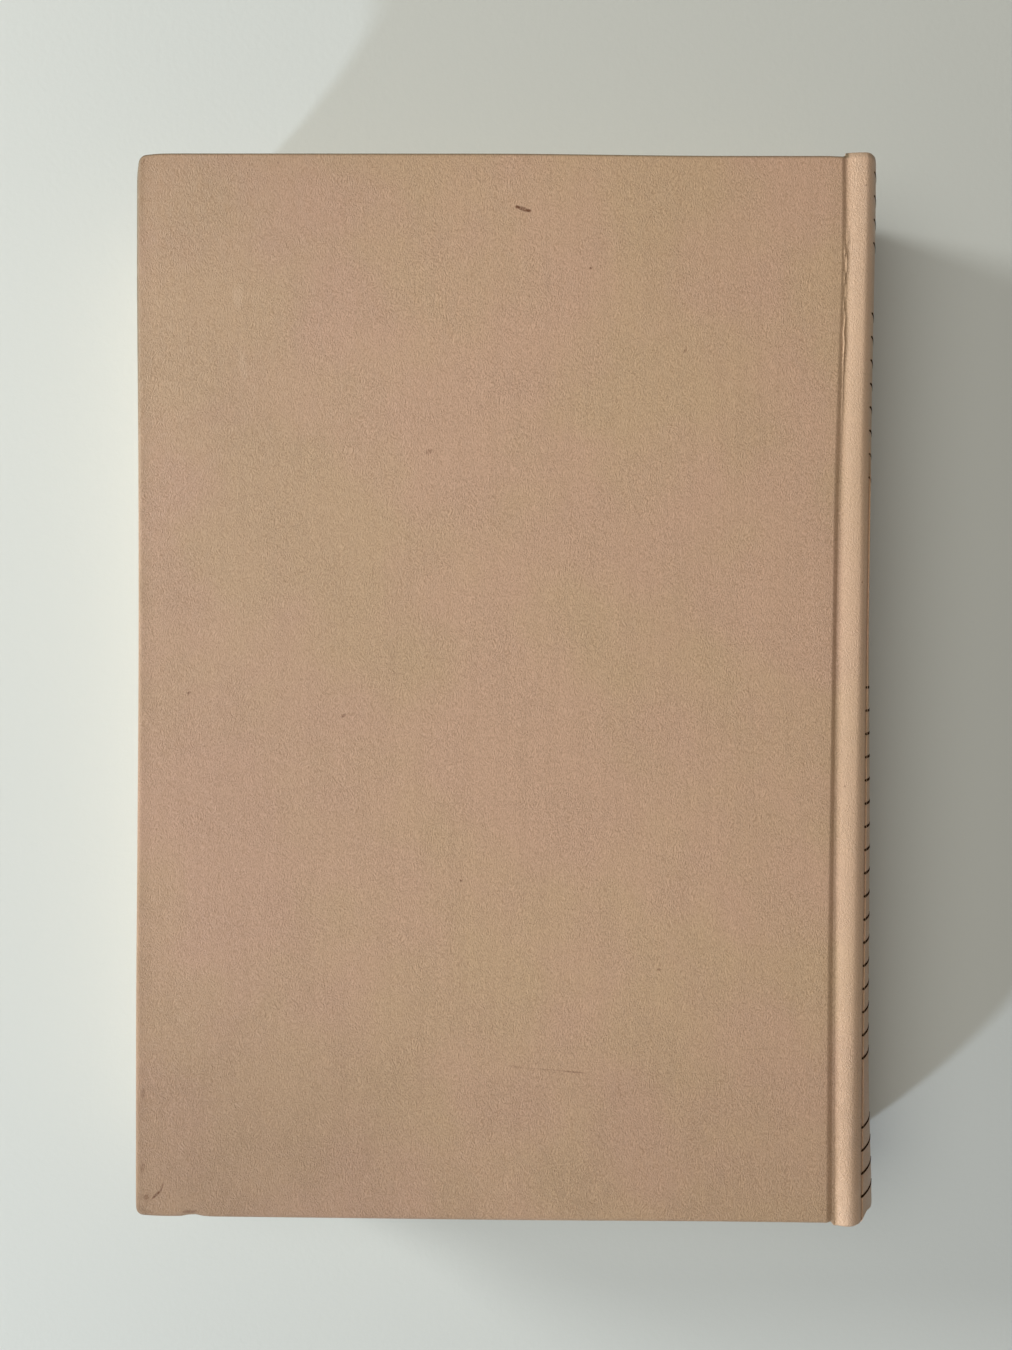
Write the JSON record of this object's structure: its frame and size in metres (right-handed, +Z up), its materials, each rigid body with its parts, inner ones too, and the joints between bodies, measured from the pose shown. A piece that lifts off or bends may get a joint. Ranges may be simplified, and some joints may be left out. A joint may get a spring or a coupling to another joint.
{
  "type": "hardback book",
  "caption": "Case-bound hardback book with a rounded hollow-back spine, grooved joints and two hinged board covers in embossed tan leatherette.",
  "frame": {"origin": "centre of the closed book's outline, on the face of the front cover that it lies on", "axes": "+Z up through the back cover, +X towards the spine, +Y towards the head of the book"},
  "size_m": [0.1498, 0.2126, 0.029],
  "materials": {
    "leaf_paper": "uncoated cream leaves, cut edges",
    "endpaper": "smooth uncoated off-white paper",
    "glue_film": "dried binding glue",
    "gauze": "open cotton weave",
    "lining_paper": "brown kraft paper",
    "band_cloth": "woven cotton band",
    "inlay_card": "thin grey card",
    "leatherette": "tan leatherette paper embossed with a fine pebble grain, slightly glossy",
    "dark_foil": "dark brown stamped foil",
    "greyboard": "grey bookbinding board"
  },
  "bodies": {
    "text_block": {"pages": "leaf_paper", "back_flyleaf": "endpaper", "front_flyleaf": "endpaper", "spine_glue": "glue_film", "spine_gauze": "gauze", "spine_lining": "lining_paper", "head_band": "band_cloth", "tail_band": "band_cloth", "spine_inlay": "inlay_card", "spine_covering": "leatherette", "back_edge_strokes": "dark_foil", "front_edge_strokes": "dark_foil"},
    "back_cover": {"back_board": "greyboard", "back_covering": "leatherette", "back_gauze_flap": "gauze", "back_pastedown": "endpaper"},
    "front_cover": {"front_board": "greyboard", "front_covering": "leatherette", "front_gauze_flap": "gauze", "front_pastedown": "endpaper"}
  },
  "joints": [
    {"name": "back_cover_hinge", "type": "hinge", "parent": "text_block", "child": "back_cover", "pos_m": [0.06472, 0, 0.029], "axis": [0, 1, 0], "range_deg": [0, 180]},
    {"name": "front_cover_hinge", "type": "hinge", "parent": "text_block", "child": "front_cover", "pos_m": [0.06472, 0, 0], "axis": [0, -1, 0], "range_deg": [0, 180]}
  ]
}
